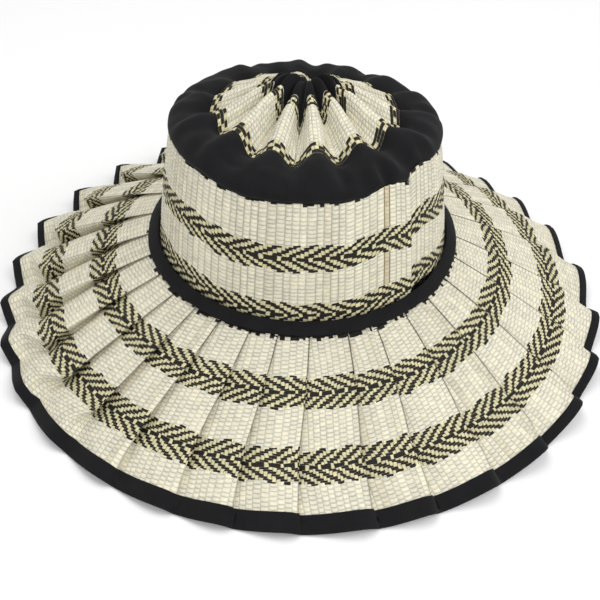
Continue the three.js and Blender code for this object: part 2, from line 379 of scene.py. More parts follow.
# %% [markdown]
# ## The checks
#
# The rosette's strip has a few rows of dashes at each edge, black and tan in turn, each nearly
# one and a half straws long and thinner than its row. A Checker Texture node has squares of one
# size only. Here each row starts at its own place and now and then a tan dash is black too,
# because the real strip isn't regular. The rows are counted from a start along V.

# %% Group: check rows
DASHES_PER_STRAW = 0.72


def check_group():
    tree, given, out = new_group(
        "check rows",
        [("Threads", VECTOR, None), ("Start", FLOAT, 0.0), ("Rows", FLOAT, 2.0)],
        ["Band", "Black", "Gap shade"],
    )
    split = add(tree, "ShaderNodeSeparateXYZ")
    tree.links.new(given["Threads"], split.inputs[0])
    rows = sums(tree, "SUBTRACT", split.outputs["Y"], given["Start"])
    row = sums(tree, "FLOOR", rows)
    row_starts = sums(tree, "MULTIPLY", random_by(tree, row, 2.0), 0.7)
    dash = sums(tree, "FLOOR", sums(tree, "MULTIPLY_ADD", split.outputs["X"], DASHES_PER_STRAW, row_starts))
    in_rows = sums(tree, "LESS_THAN", row, given["Rows"])
    band = sums(tree, "MULTIPLY", in_rows, sums(tree, "GREATER_THAN", row, -0.5))
    turn = sums(tree, "FLOORED_MODULO", sums(tree, "ADD", dash, row), 2.0)
    odd_one = sums(tree, "GREATER_THAN", random_by(tree, dash, row), 0.88)
    black = sums(tree, "LESS_THAN", sums(tree, "SUBTRACT", turn, odd_one), 0.5)
    thin = sums(tree, "LESS_THAN", from_middle_of_cell(tree, rows), 0.92)
    black = sums(tree, "MULTIPLY", black, thin)
    tree.links.new(band, out["Band"])
    tree.links.new(sums(tree, "MULTIPLY", band, black), out["Black"])
    # Painted shade: the gaps round each dash are darkened.
    to_side = from_middle_of_cell(tree, split.outputs["X"])
    gap = sums(tree, "MAXIMUM", to_side, from_middle_of_cell(tree, rows))
    tree.links.new(sums(tree, "MULTIPLY", band, ramp(tree, gap, 0.76, 2.6)), out["Gap shade"])
    return tree


check_rows = check_group()
print("check rows:", len(check_rows.nodes), "nodes")

# %% [markdown]
# ## The straw material
#
# One function makes the three straw materials, because brim, wall and rosette differ only in
# their black rows and seams. Cream straw is the base, a little different at each bulge, and a
# few straws are tan. The tops of the bulges are painted a little lighter and the seams between
# them darker, as painted light and shade. The ground of the chevron rows is a yellower straw,
# and the black thread lies over it. The heights feed one Bump node, for what is finer than the
# mesh.

# %% Straw materials
CREAM, PALE_STRAW, TAN_STRAW = (0.76, 0.715, 0.56), (0.76, 0.735, 0.61), (0.62, 0.54, 0.38)
BAND_STRAW, SEAM_SHADE, BLACK_THREAD = (0.67, 0.62, 0.39), (0.20, 0.165, 0.07), (0.010, 0.008, 0.005)
STITCHES_PER_STRAW = 1.5       # black stitches that hold the straw to the cotton


def straw_material(name, seams, chevrons=(), checks=(), edge_teeth=(), dark_straw_and_lap_shadow=False):
    """Seams are (sides, step, loose), chevrons rows of (middle, reach, way, thickness)."""
    material, tree, shader = new_material(name, 0.62, 0.3)
    threads = add(tree, "ShaderNodeUVMap", uv_map="threads").outputs["UV"]
    split = add(tree, "ShaderNodeSeparateXYZ")
    tree.links.new(threads, split.inputs[0])
    weave = use_group(tree, plain_weave, Threads=threads, Side_seams=seams[0], Step=seams[1], Loose=seams[2])
    cream = blend_colour(tree, weave["Bulge"], CREAM, PALE_STRAW)
    tan = ramp(tree, weave["Straw"], 0.92, 4.0)
    # Painted shade: the seams between the bulges are darkened towards SEAM_SHADE.
    seam_shade = weave["Seam"]
    if dark_straw_and_lap_shadow:
        tan = sums(tree, "MAXIMUM", tan, sums(tree, "COMPARE", split.outputs["X"], 0.5, 0.5))
        # Painted shadow: thin dark lines along both edges of the dark straw, where the far end of the strip
        # laps over its start.
        from_middle = sums(tree, "ABSOLUTE", sums(tree, "MULTIPLY_ADD", split.outputs["X"], 2.0, -1.0))
        beside = sums(tree, "COMPARE", split.outputs["X"], 0.5, 0.58)
        seam_shade = sums(tree, "MAXIMUM", seam_shade, sums(tree, "MULTIPLY", ramp(tree, from_middle, 0.72, 4.0), beside))
    cream = blend_colour(tree, tan, cream, TAN_STRAW)
    streaks = add(tree, "ShaderNodeTexNoise", noise_dimensions="2D")
    streaks.inputs["Scale"].default_value = 1.6
    streaks.inputs["Detail"].default_value = 4.0
    tree.links.new(threads, streaks.inputs["Vector"])
    uneven = sums(tree, "MULTIPLY", streaks.outputs[0], 0.42)
    uneven = sums(tree, "MULTIPLY_ADD", weave["Bulge"], 0.14, uneven)
    uneven = sums(tree, "MULTIPLY_ADD", weave["Straw"], 0.1, uneven)
    # Painted light: each bulge is made lighter towards its top by its height, over the random tone.
    value = sums(tree, "MULTIPLY_ADD", weave["Height"], 0.1, sums(tree, "SUBTRACT", 1.2, uneven))
    shade = add(tree, "ShaderNodeCombineColor")
    for socket in shade.inputs:
        tree.links.new(value, socket)
    cream = blend_colour(tree, 1.0, cream, shade.outputs[0], "MULTIPLY")
    ground = blend_colour(tree, 1.0, BAND_STRAW, shade.outputs[0], "MULTIPLY")
    colour = blend_colour(tree, seam_shade, cream, SEAM_SHADE)
    height = weave["Height"]
    for middle, reach, way, thickness in chevrons:
        sizes = dict(Middle=middle, Reach=reach, Way=way, Thickness=thickness)
        rows = use_group(tree, chevron_rows, Threads=threads, **sizes)
        beads = blend_colour(tree, rows["Gap shade"], ground, SEAM_SHADE)
        colour = blend_colour(tree, rows["Ground"], colour, beads)
        colour = blend_colour(tree, rows["Black"], colour, BLACK_THREAD)
        height = blend_value(tree, rows["Band"], height, rows["Height"])
    for start, count in checks:
        rows = use_group(tree, check_rows, Threads=threads, Start=start, Rows=count)
        beads = blend_colour(tree, rows["Gap shade"], ground, SEAM_SHADE)
        colour = blend_colour(tree, rows["Band"], colour, beads)
        colour = blend_colour(tree, rows["Black"], colour, BLACK_THREAD)
    stitch = sums(tree, "FLOOR", sums(tree, "MULTIPLY", split.outputs["X"], STITCHES_PER_STRAW))
    for place_along in edge_teeth:
        past = sums(tree, "SUBTRACT", split.outputs["Y"], place_along)
        tooth = sums(tree, "MULTIPLY_ADD", random_by(tree, stitch, 5.0), 1.5, -0.75)
        colour = blend_colour(tree, sums(tree, "LESS_THAN", past, tooth), colour, BLACK_THREAD)
    tree.links.new(colour, shader.inputs["Base Color"])
    add_bump(tree, shader, height, 0.8, 0.4)
    return material


POINTS_FORWARD, POINTS_BACK = 1.0, -1.0     # towards growing or falling azimuth
ROSETTE_THREADS = 18
BRIM_CHEVRONS = [(13.6, 8, POINTS_FORWARD, 0.95), (30.2, 8, POINTS_BACK, 0.95)]
WALL_CHEVRONS = [(13.1, 7, POINTS_BACK, 1.0), (28.1, 7, POINTS_FORWARD, 1.0)]
brim_straw = straw_material("brim straw", (0.32, 1 / 3, 0.12), BRIM_CHEVRONS, edge_teeth=[0.3])
wall_straw = straw_material("wall straw", (0.6, 0.0, 0.5), WALL_CHEVRONS, edge_teeth=[0.0], dark_straw_and_lap_shadow=True)
ROSETTE_CHECKS = [(0.0, 3), (ROSETTE_THREADS - 4.2, 4)]
rosette_straw = straw_material("rosette straw", (0.3, 0.5, 0.3), checks=ROSETTE_CHECKS)
print("straw materials:", brim_straw.name + ",", wall_straw.name + ",", rosette_straw.name)

# %% [markdown]
# ## The black cotton
#
# The cotton is a close plain cloth, matt and slightly blue. Its threads are far finer than the
# straw, so they are bump alone. A slow noise makes the dye a little uneven, and a soft sheen on
# the shader gives the pale edge that cotton has where it turns away.

# %% Group and material: cotton cloth
def cotton_group():
    tree, given, out = new_group(
        "cotton cloth", [("Cloth", VECTOR, None), ("Threads per mm", FLOAT, 1.6)], ["Height", "Shade"]
    )
    split = add(tree, "ShaderNodeSeparateXYZ")
    tree.links.new(given["Cloth"], split.inputs[0])
    waves = []
    for axis in ("X", "Y"):
        count = sums(tree, "MULTIPLY", split.outputs[axis], given["Threads per mm"])
        waves.append(sums(tree, "SINE", sums(tree, "MULTIPLY", count, math.tau)))
    tree.links.new(sums(tree, "MULTIPLY", *waves), out["Height"])
    slow = add(tree, "ShaderNodeTexNoise")
    slow.inputs["Scale"].default_value = 0.08
    slow.inputs["Detail"].default_value = 4.0
    tree.links.new(given["Cloth"], slow.inputs["Vector"])
    tree.links.new(slow.outputs[0], out["Shade"])
    return tree


def cotton_material():
    material, tree, shader = new_material("black cotton", 0.88, 0.12)
    shader.inputs["Sheen Weight"].default_value = 0.04
    shader.inputs["Sheen Roughness"].default_value = 0.5
    threads = add(tree, "ShaderNodeUVMap", uv_map="threads").outputs["UV"]
    cloth = use_group(tree, cotton_group(), Cloth=threads)
    colour = blend_colour(tree, cloth["Shade"], (0.0055, 0.0055, 0.0062), (0.0135, 0.0135, 0.0150))
    tree.links.new(colour, shader.inputs["Base Color"])
    add_bump(tree, shader, cloth["Height"], 0.25, 0.08)
    return material


cotton = cotton_material()
print("cotton:", cotton.name)

# %% [markdown]
# ## The weave as relief
#
# The bulges of the straw are large enough to catch light and to break the outline, so they are
# in the mesh as well. A function gives their height at any place of the UV map, and the
# columns of brim and wall are put where it turns: at the seams and on the bulges.

# %% Relief of the weave
BRIM_PITCH, WALL_PITCH = 2.54, 2.62     # mm between cross threads
RELIEF = 0.45                  # mm from the seams to the top of a bulge


def weave_relief(straws, threads, step):
    straw = np.floor(straws + 1e-6)
    across = np.clip(straws - straw, 0, 1)
    rounded = 1 - np.abs(2 * across - 1) ** 5
    return rounded * (0.5 + 0.5 * np.sin(np.pi * (threads + step * straw)) ** 2)


def straw_widths(rng, total, usual):
    """Widths of straws that fill a total, a little different from each other."""
    count = max(2, int(round(total / usual)))
    widths = 1 + rng.uniform(-0.2, 0.2, count)
    return widths * total / widths.sum()


print("relief", RELIEF, "mm on threads every", BRIM_PITCH, "or", WALL_PITCH, "mm")

# %% [markdown]
# ## The brim's pleats
#
# Simulated cloth could fold itself, but these thirty folds have to stand where the real ones
# do, so short tables give their places and the sheet is worked out from them.
#
# Each of the thirty panels keeps its width from the edge to the band, as a folded strip does.
# There is less and less room towards the band, so a panel slides further under its neighbour.
# The grid follows the cloth itself: over the long face from fold to crest, and back on the
# short face to the next fold. At the sides and back the pleats stand open at the edge, with
# round crests, and lap further over the next one where they lie shut.

# %% Tables of the brim
HINGE_RADIUS, HINGE_HEIGHT, BRIM_LENGTH = 97.5, 45.3, 116.6
PLEATS, FIRST_FOLD = 30, 1.0
EDGE_FOOT = 0.9                # mm from the surface up to the brim edge over a fold
MEAN_SLOPE = math.radians(25)  # for the room that the panels have at a distance down the slope
RISE_AT_BAND = 1.1             # mm, half the height of a pleat at the band
TWIST_FADES = 75               # mm down the slope
STRAW_WIDTH = 3.9              # mm
HIDDEN_STRAWS = 4              # on the short face of each pleat
OPEN_ROUND = 0.5               # how round an open pleat is at the edge, from 0 for a flat face
OPEN_FROM, OPENING = 104, 20   # mm down the slope where the pleats are open, and over how many
TUCK = 0.045                   # share that a shut panel is wider, for each degree of CLOSES
FOLD_DRIFT = [                 # degrees that a fold stands from its even place
    (-180, 0), (-131, 2.6), (-95, 7), (-83, 6.5), (-71, 5.6), (-59, 5.3), (-47, 5.8), (-35, 4.5), (-23, 4),
    (-11, 1.5), (1, 0), (13, 0), (25, -2), (37, -2), (49, -2.1), (61, -1.2), (73, 0.1), (80, 0.3), (109, 5),
    (145, 2), (180, 0),
]
CREST_HEIGHT = [               # mm at the edge, on the hat's own axis
    (-180, -10), (-131, -4), (-95, -0.5), (-62, 0.5), (-38, 1), (-8, 1.8),
    (16, 2.4), (49, 4), (80, 0.8), (109, -3.5), (145, -9), (180, -10),
]
SHORT_FACE = [                 # share of a pleat, at the edge
    (-180, 0.24), (-131, 0.25), (-95, 0.36), (-62, 0.3), (-53, 0.25), (-41, 0.03), (45, 0.02), (58, 0.07),
    (80, 0.18), (109, 0.22), (145, 0.24), (180, 0.24),
]
TWIST_AT_BAND = [              # degrees that a crest turns from its middle to the band
    (-180, 2.5), (-80, 1.9), (-50, 2.3), (-25, 3), (2, 3), (18, 4.4), (60, 4), (110, 2.5), (180, 2.5),
]
CLOSES = [                     # degrees that a crest laps over the next pleat, off the edge
    (-180, 4), (-100, 7), (-62, 6.8), (-44, 3.8), (-33, 0.4), (-20, 0), (60, 0), (100, 2.6), (180, 4),
]
SWELL = [                      # mm that a crest stands higher, midway down the slope
    (-180, 1.6), (-100, 3.2), (-62, 2.8), (-35, 2), (0, 1.4), (30, 1.3), (70, 0.9), (110, 1.6), (180, 1.6),
]


def fold_slope(azimuth):
    """The slope that lets a fold just touch the surface."""
    hinge = place(azimuth, HINGE_RADIUS, HINGE_HEIGHT)[..., 2] / MM
    out = place(azimuth, HINGE_RADIUS + 1, HINGE_HEIGHT)[..., 2] / MM - hinge
    up = math.cos(LEAN_FORWARD)
    return np.arcsin((hinge - EDGE_FOOT) / (BRIM_LENGTH * np.hypot(out, up))) + np.arctan2(out, up)


def crest_slope(azimuth):
    return np.arcsin((HINGE_HEIGHT - round_hat(CREST_HEIGHT, azimuth)) / BRIM_LENGTH)


even = FIRST_FOLD + np.arange(PLEATS + 1) * 360 / PLEATS
fold_at = even + round_hat(FOLD_DRIFT, even)
pleat_width = np.diff(fold_at)
short_share = round_hat(SHORT_FACE, fold_at[:-1])
crest_at = fold_at[:-1] + pleat_width * (1 - short_share)
closes = round_hat(CLOSES, crest_at)
EDGE_RADIUS = HINGE_RADIUS + BRIM_LENGTH * math.cos(MEAN_SLOPE)
panel_width = np.radians(crest_at - fold_at[:-1]) * EDGE_RADIUS
print("panels are", panel_width.min().round(1), "to", panel_width.max().round(1), "mm wide")

# %% [markdown]
# ## The columns of the brim
#
# The columns of the brim are listed once, and both the straw and its binding use them. A
# column knows its pleat, how far it is from the crest on the long face or how far along on the
# short face, and its straw number.

# %% Columns of the brim
def brim_columns(seed=4):
    """Arrays: pleat, mm left of the crest, share of the short face, straw number."""
    rng = np.random.default_rng(seed)
    listed = []
    number = 0
    for pleat in range(PLEATS):
        widths = straw_widths(rng, panel_width[pleat], STRAW_WIDTH)
        left = panel_width[pleat]
        for width in widths:
            for part in (0, 0.5):
                listed.append((pleat, left - part * width, 0, number + part))
            left -= width
            number += 1
        for step in range(HIDDEN_STRAWS):
            listed.append((pleat, 0, step / HIDDEN_STRAWS, number))
            number += 1
    listed.append((PLEATS, panel_width[0], 0, number))
    return np.array(listed, float).T


def shut(slant):
    """1 where the pleats lie shut, 0 at the edge where they open."""
    return ease((OPEN_FROM - slant) / OPENING)


def crest_line(k, slant):
    """Azimuth of a pleat's crest at a distance down the slope."""
    twist = round_hat(TWIST_AT_BAND, crest_at)[k] * np.maximum(0, 1 - slant / TWIST_FADES)
    return crest_at[k] + twist + closes[k] * shut(slant)


def panel_profile(up, openness, at_edge):
    """From -1 at the fold to 1 on the crest, and rolled down at the edge."""
    flat, dipped = 2 * up - 1, 1 - 2 * (1 - up) ** 4
    inner = flat + (dipped - flat) * (0.3 + 0.5 * openness)
    rolled = np.where(up < 0.8, -np.cos(np.pi * up / 0.8), 1 - 1.5 * (np.maximum(up - 0.8, 0) / 0.2) ** 2)
    open_face = flat + (-np.cos(np.pi * up) - flat) * OPEN_ROUND
    outer = rolled + (open_face - rolled) * openness
    return inner + (outer - inner) * at_edge


def brim_grid(columns, slants):
    """Points for every column at every distance down the slope from the hinge ring."""
    pleat, left, share, _ = (part[:, None] for part in columns)
    k = pleat.astype(int) % PLEATS
    after = (k + 1) % PLEATS
    lap = 360.0 * (pleat >= PLEATS)
    slant = np.maximum(slants, 0)[None]
    along = slant / BRIM_LENGTH
    radius = HINGE_RADIUS + slant * math.cos(MEAN_SLOPE)
    tucked = shut(slant) * TUCK
    crest = crest_line(k, slant) + lap
    next_crest = crest_line(after, slant) + 360.0 * (k + 1 >= PLEATS) + lap
    next_fold = next_crest - np.degrees(panel_width[after] * (1 + closes[after] * tucked) / radius)
    azimuth = crest - np.degrees(left * (1 + closes[k] * tucked) / radius)
    azimuth = np.where(share > 0, crest + (next_fold - crest) * share, azimuth)
    openness = ease((short_share[k] - 0.06) / 0.2)
    at_edge = ease((along - 0.8 + 0.08 * openness) / (0.2 + 0.08 * openness))
    rise = panel_profile(1 - left / panel_width[k], openness, at_edge)
    fall = rise + (-1 - rise) * (share + (ease(share) - share) * at_edge * openness * OPEN_ROUND)
    rise = np.where(share > 0, fall, rise)
    slope = fold_slope(azimuth) + (crest_slope(azimuth) - fold_slope(azimuth)) * (rise + 1) / 2
    swell = round_hat(SWELL, crest_at)[k]
    lift = rise * (RISE_AT_BAND * (1 - along) + swell * np.sin(np.pi * along))
    out = HINGE_RADIUS + slant * np.cos(slope) + np.minimum(slants, 0)[None]
    return place(azimuth, out, HINGE_HEIGHT - slant * np.sin(slope) + lift)


columns = brim_columns()
print(columns.shape[1], "columns round the brim")

# %% [markdown]
# ## The straw of the brim
#
# A Displace modifier could raise the weave from a flat sheet, but the height is known at each
# point, so the points are moved directly. Rows are a third of a thread step apart, which shows
# the shift from straw to straw, and the relief fades where the binding holds the edge.

# %% The brim
BAND_EDGE = 4.0                # mm down the slope where the base band ends
third_steps = np.arange(0, int(3 * (BRIM_LENGTH - BAND_EDGE) / BRIM_PITCH)) / 3
threads = np.concatenate([[-3, -1.5], third_steps, [(BRIM_LENGTH - 0.4 - BAND_EDGE) / BRIM_PITCH]])
slants = BAND_EDGE + threads * BRIM_PITCH
straws = columns[3][:, None] + 0 * threads[None]
threads = threads[None] + 0 * straws
flat_brim = brim_grid(columns, slants)
bound = 1 - 0.8 * ease((slants[None] - BRIM_LENGTH + 12) / 4)
woven = raise_grid(flat_brim, (weave_relief(straws, threads, 1 / 3) - 0.5) * RELIEF * bound)
brim = make_sheet("brim_weave", woven, np.stack([straws, threads], -1), brim_straw, "brim")

# %% [markdown]
# ## The binding of the edge
#
# A cotton tape is folded over the straw and sewn through. A curve with a bevel would twist
# where the pleats turn sharply, so the tape takes every other column of the brim, with a
# section that goes over the top, round the edge and back underneath.

# %% The binding
BINDING_SECTION = [            # mm in from the brim edge, mm out from the middle of the straw
    (9.7, 0.35), (9.3, 0.75), (7.5, 1.05), (4.5, 1.15), (1.8, 1.15), (0.3, 0.9), (-0.5, 0.1),
    (0.1, -0.8), (1.8, -1.1), (4.5, -1.1), (7.5, -1.05), (9.3, -0.8), (9.7, -0.35),
]
TAPE_ZONE, SPOTS_PER_MM = 11, 2             # mm in from the edge that the tape's spots reach
TAPE_SHOWS = [                 # share of the tape's width that lies on top
    (-180, 0.62), (-65, 0.62), (-35, 0.95), (0, 1.1), (30, 1), (48, 0.85), (65, 0.62), (180, 0.62),
]


def binding_grid(columns):
    inward, out = through(BINDING_SECTION, 27).T
    spots = np.linspace(BRIM_LENGTH - TAPE_ZONE, BRIM_LENGTH + 1, (TAPE_ZONE + 1) * SPOTS_PER_MM + 1)
    base = brim_grid(columns, spots)
    normal = normals_of(base)
    on_top = round_hat(TAPE_SHOWS, crest_at[columns[0].astype(int) % PLEATS])[:, None]
    share = np.where(out[None] > 0, on_top, 1)
    at = (TAPE_ZONE - inward[None] * share) * SPOTS_PER_MM
    low = np.clip(at.astype(int), 0, len(spots) - 2)
    part = (at - low)[..., None]
    row = np.arange(base.shape[0])[:, None]
    point = base[row, low] * (1 - part) + base[row, low + 1] * part
    facing = normal[row, low] * (1 - part) + normal[row, low + 1] * part
    return point + facing * out[None, :, None] * MM


tape_columns = columns[:, ::2] if columns.shape[1] % 2 else np.hstack([columns[:, ::2], columns[:, -1:]])
tape = binding_grid(tape_columns)
run = np.concatenate([[0], np.cumsum(np.linalg.norm(np.diff(tape[:, 6], axis=0), axis=1))]) / MM
over = np.concatenate([[0], np.cumsum(np.linalg.norm(np.diff(tape[0], axis=0), axis=1))]) / MM
tape_uv = np.stack(np.broadcast_arrays(run[:, None], over[None]), -1)
binding = make_sheet("brim_binding_tape", tape, tape_uv, cotton, "brim_binding")
print("its lowest point is", round(tape[..., 2].min() / MM, 2), "mm over the surface")

# %% [markdown]
# ## The crown wall
#
# The wall is a second strip of matting, once round and lapped over itself at the left front of
# the wearer. A closed ring would be simpler, but it has no lap. So the wall is one long open
# sheet here too, and the lap has a real edge: the strip starts hidden, comes out from under its
# own far end at 46 degrees and stands a little higher there. Its top edge is where the straws
# were cut, so each one ends at its own height. One darker straw stands over the hidden start,
# and its material paints a thin shadow along both its edges.

# %% The wall
WALL_BASE_RADIUS, WALL_TOP_RADIUS, WALL_BASE_HEIGHT, WALL_TOP_HEIGHT = 94.5, 82.8, 46.9, 122.0
TOP_RISE_FORWARD, TOP_DROP_RIGHT = 0.08, 0.025
WALL_EDGE = [
    (-180, 0), (-95, 2), (-55, 2), (-20, -2.5), (10, -1), (36, 2), (62, 5), (180, 0),
]
STRIP_EDGE = [                 # mm added along the strip, from its hidden start to its far end
    (31, -2), (45.4, -2.5), (46.4, 4.6), (52, 6), (58, 3.6), (64, 0.5), (71, -1.2), (90, 0),
    (378, 0), (387, 1.8), (391, 4), (396, 3.4), (400, 2.2), (404, 0), (406, -0.8),
]
SEAM_START, SEAM_END, LAP_STEP = 31.5, 46.0, 1.5
FAR_END_CLIMBS = (386, 5.5)    # degrees along the strip where it climbs over its start, and how many
WALL_BULGE, WALL_INSET = 0.8, 0.6           # mm out at mid height, and mm inside the radius
WALL_ROWS = 63                 # two for each cross thread
DARK_STRAW = (392.0, 394.4)    # where it starts and ends along the strip
WALL_STRAW = 3.05              # degrees
WALL_THICKNESS = 1.0           # mm


def wall_top(azimuth):
    turn = np.radians(azimuth)
    lean = TOP_RISE_FORWARD * np.cos(turn) - TOP_DROP_RIGHT * np.sin(turn)
    return WALL_TOP_HEIGHT + WALL_TOP_RADIUS * lean + round_hat(WALL_EDGE, azimuth)


def make_wall(seed=11):
    rng = np.random.default_rng(seed)
    span = 360 + SEAM_END - SEAM_START
    widths = straw_widths(rng, span, WALL_STRAW)
    edges = SEAM_START + np.concatenate([[0], np.cumsum(widths)])
    dark = int(np.argmin(np.abs(edges - DARK_STRAW[0])))
    edges[dark : dark + 2] = DARK_STRAW
    edges[dark + 2] = max(edges[dark + 2], DARK_STRAW[1] + 2.4)
    widths = np.diff(edges)
    parts = np.array([0, 0.12, 0.5, 0.88])
    azimuth = np.append((edges[:-1, None] + widths[:, None] * parts).ravel(), edges[-1])[:, None]
    straws = np.append((np.arange(len(widths))[:, None] + parts).ravel(), len(widths))[:, None] - dark
    ends = np.append(np.repeat(rng.uniform(-0.6, 0.6, len(widths)), 4), 0)[:, None]
    threads = np.arange(WALL_ROWS)[None] / 2
    at, extra = np.array(STRIP_EDGE).T
    top = wall_top(azimuth) + np.interp(azimuth, at, extra)
    slant_length = np.hypot(top - WALL_BASE_HEIGHT, WALL_BASE_RADIUS - WALL_TOP_RADIUS)
    down = np.minimum(threads * WALL_PITCH / slant_length, 1.0)
    under = 1 - ease((azimuth - SEAM_END) / 4)
    over = ease((azimuth - FAR_END_CLIMBS[0]) / FAR_END_CLIMBS[1])
    bulge = WALL_BULGE * np.sin(np.pi * down)
    radius = WALL_TOP_RADIUS + (WALL_BASE_RADIUS - WALL_TOP_RADIUS) * down + bulge - WALL_INSET
    radius = radius + LAP_STEP * (over - under) / 2
    first_row = (threads == 0) * ends
    height = top + first_row - (top - WALL_BASE_HEIGHT) * down
    smooth = place(azimuth, radius, height)
    raised = raise_grid(smooth, (weave_relief(straws, threads, 0) - 0.5) * RELIEF)
    return raised, np.stack(np.broadcast_arrays(straws, threads), -1)


wall_grid, wall_uv = make_wall()
wall = make_sheet("crown_wall_weave", wall_grid, wall_uv, wall_straw, "crown_wall")
thick = wall.modifiers.new("thickness", "SOLIDIFY")
thick.thickness, thick.offset = WALL_THICKNESS * MM, -1.0

# %% [markdown]
# ## The crown top
#
# Three pieces share one surface: the black gathered centre, the straw rosette and the black
# puff. Fourteen folds run through all of them, and they meet only if one formula makes them
# all, so the three aren't modelled one by one. A table of rows gives radius, height over the
# wall's edge, half the height of a fold, how far its valleys spread and how narrow they are,
# and a smooth curve through the table makes it fine. Near the centre the folds are round tubes
# with deep narrow valleys, and outwards they open.

# %% Surface of the crown top
TOP_FOLDS, FIRST_RIDGE = 14, 7.2
CENTRE_ROWS = [                # radius, height, lift, spread, narrowness
    (1.0, 17.5, 0.2, 0, 1.2), (2.6, 23.5, 1.1, 0, 1.3), (5.5, 28.8, 2.1, 0, 1.4), (11, 31.6, 3, 0, 1.6),
    (17, 30.0, 4, 0.6, 1.7), (22, 26, 4.6, 2.2, 1.7),
]
ROSETTE_ROWS = [
    (22.4, 26, 4.8, 2.2, 1.7), (33, 21.6, 6.4, 1.8, 1.45), (45, 16.0, 5.6, 1.6, 1.3),
    (56.6, 11.4, 4.2, 1.2, 1.15),
]
PUFF_ROWS = [
    (55.4, 9.8, 4.0, 1.2, 1.15), (57.2, 11.2, 4.0, 1.2, 1.15), (60, 12.2, 3.4, 1.2, 1.1),
    (65, 13.0, 2.2, 0.5, 1), (73.8, 11.6, 1, 0, 1), (80.2, 7.6, 0.5, 0, 1), (82.8, 3.4, 0.2, 0, 1),
    (81.9, 0.3, 0, 0, 1), (80.8, -3, 0, 0, 1),
]
DEEP_VALLEY, DEEP_REACH = -5.4, 9.0         # the cotton runs further down this valley
DEEP_WIDTH, PUSHED_DROPS = 3.6, 0.42        # degrees, and mm down for each mm outwards
FLATTER = [(-180, 0.85), (-120, 0.7), (-75, 0.8), (-50, 1), (110, 1), (160, 0.85), (180, 0.85)]


def fold_lift(azimuth, narrow):
    """From -1 in a valley to 1 on a ridge, with narrower valleys for larger values."""
    turn = ((azimuth - FIRST_RIDGE) * TOP_FOLDS / 360) % 1
    return np.cos(np.pi * (2 * np.minimum(turn, 1 - turn)) ** narrow)


def crumple(azimuth, radius, seed, waves, size):
    """Soft irregular folds that run mostly outwards, in mm."""
    rng = np.random.default_rng(seed)
    total = 0
    for count in waves:
        phase, swirl, strength = rng.uniform(0, math.tau), rng.normal(0, 0.05), rng.uniform(0.5, 1)
        total = total + strength * np.sin(count * np.radians(azimuth) + phase + swirl * radius)
    return size * total / math.sqrt(len(waves))


def top_grid(rows, steps, fold_columns, creases, reach):
    """reach says how much of the deep valley's extra length each row takes, from 0 to 1."""
    azimuth = np.linspace(0, 360, fold_columns * TOP_FOLDS + 1)[:, None] + FIRST_RIDGE - 180 / TOP_FOLDS
    radius, height, lift, spread, narrow = (part[None] for part in through(rows, steps).T)
    fold = fold_lift(azimuth, narrow)
    away = (azimuth - DEEP_VALLEY + 180) % 360 - 180
    pushed = DEEP_REACH * np.exp(-((away / DEEP_WIDTH) ** 2)) * reach[None]
    out = radius - spread * fold + pushed
    up = wall_top(azimuth) + height + lift * fold * round_hat(FLATTER, azimuth)
    up = up - PUSHED_DROPS * pushed + creases(azimuth, out)
    return azimuth, out, up


# %% [markdown]
# ## The rosette
#
# The ring is a straw strip gathered along its inner edge. A cloth simulation would fold it
# anywhere, and these folds have to run on into the centre and the puff, so the strip follows
# the shared surface. Straws are counted from the crest of each fold by the length of the
# cloth, so they keep their width over the folds and vanish in the valleys towards the centre.

# %% The rosette
ROSETTE_STRAW = 3.0            # mm
STRAWS_PER_FOLD = 12           # straw numbers kept for each fold
ROSETTE_STEPS, ROSETTE_COLUMNS = 55, 44


def no_creases(azimuth, out):
    return 0 * out


def make_rosette():
    far = np.linspace(0, 1, ROSETTE_STEPS)
    azimuth, out, up = top_grid(ROSETTE_ROWS, ROSETTE_STEPS, ROSETTE_COLUMNS, no_creases, (1 - far) ** 2)
    grid = place(azimuth, out, up)
    ridge = np.round((azimuth - FIRST_RIDGE) * TOP_FOLDS / 360)
    step = np.linalg.norm(np.diff(grid, axis=0), axis=-1) / MM
    walked = np.concatenate([np.zeros((1, grid.shape[1])), np.cumsum(step, axis=0)])
    crest_column = np.round((ridge + 0.5) * ROSETTE_COLUMNS).astype(int).clip(0, grid.shape[0] - 1)[:, 0]
    from_crest = walked - walked[crest_column]
    straws = ridge * STRAWS_PER_FOLD + from_crest / ROSETTE_STRAW + 0.5
    threads = (1 - far[None]) * ROSETTE_THREADS + 0 * straws
    raised = raise_grid(grid, (weave_relief(straws, threads, 0) - 0.5) * RELIEF)
    return raised, np.stack([straws, threads], -1)


rosette_grid, rosette_uv = make_rosette()
rosette = make_sheet("rosette_weave", rosette_grid, rosette_uv, rosette_straw, "crown_rosette")

# %% [markdown]
# ## The black cloth of the crown
#
# The cloth puffs out round the rosette and is drawn into a pucker at the centre. Soft folds
# run on from the rosette's ridges and fade towards the rim, and a sum of waves with seeded
# random phases makes them uneven. Sculpting could do this too, but a script makes the same
# folds each time it runs. A short table adds the folds that go deeper, above all over the lap
# of the wall, where the cloth is caught in.

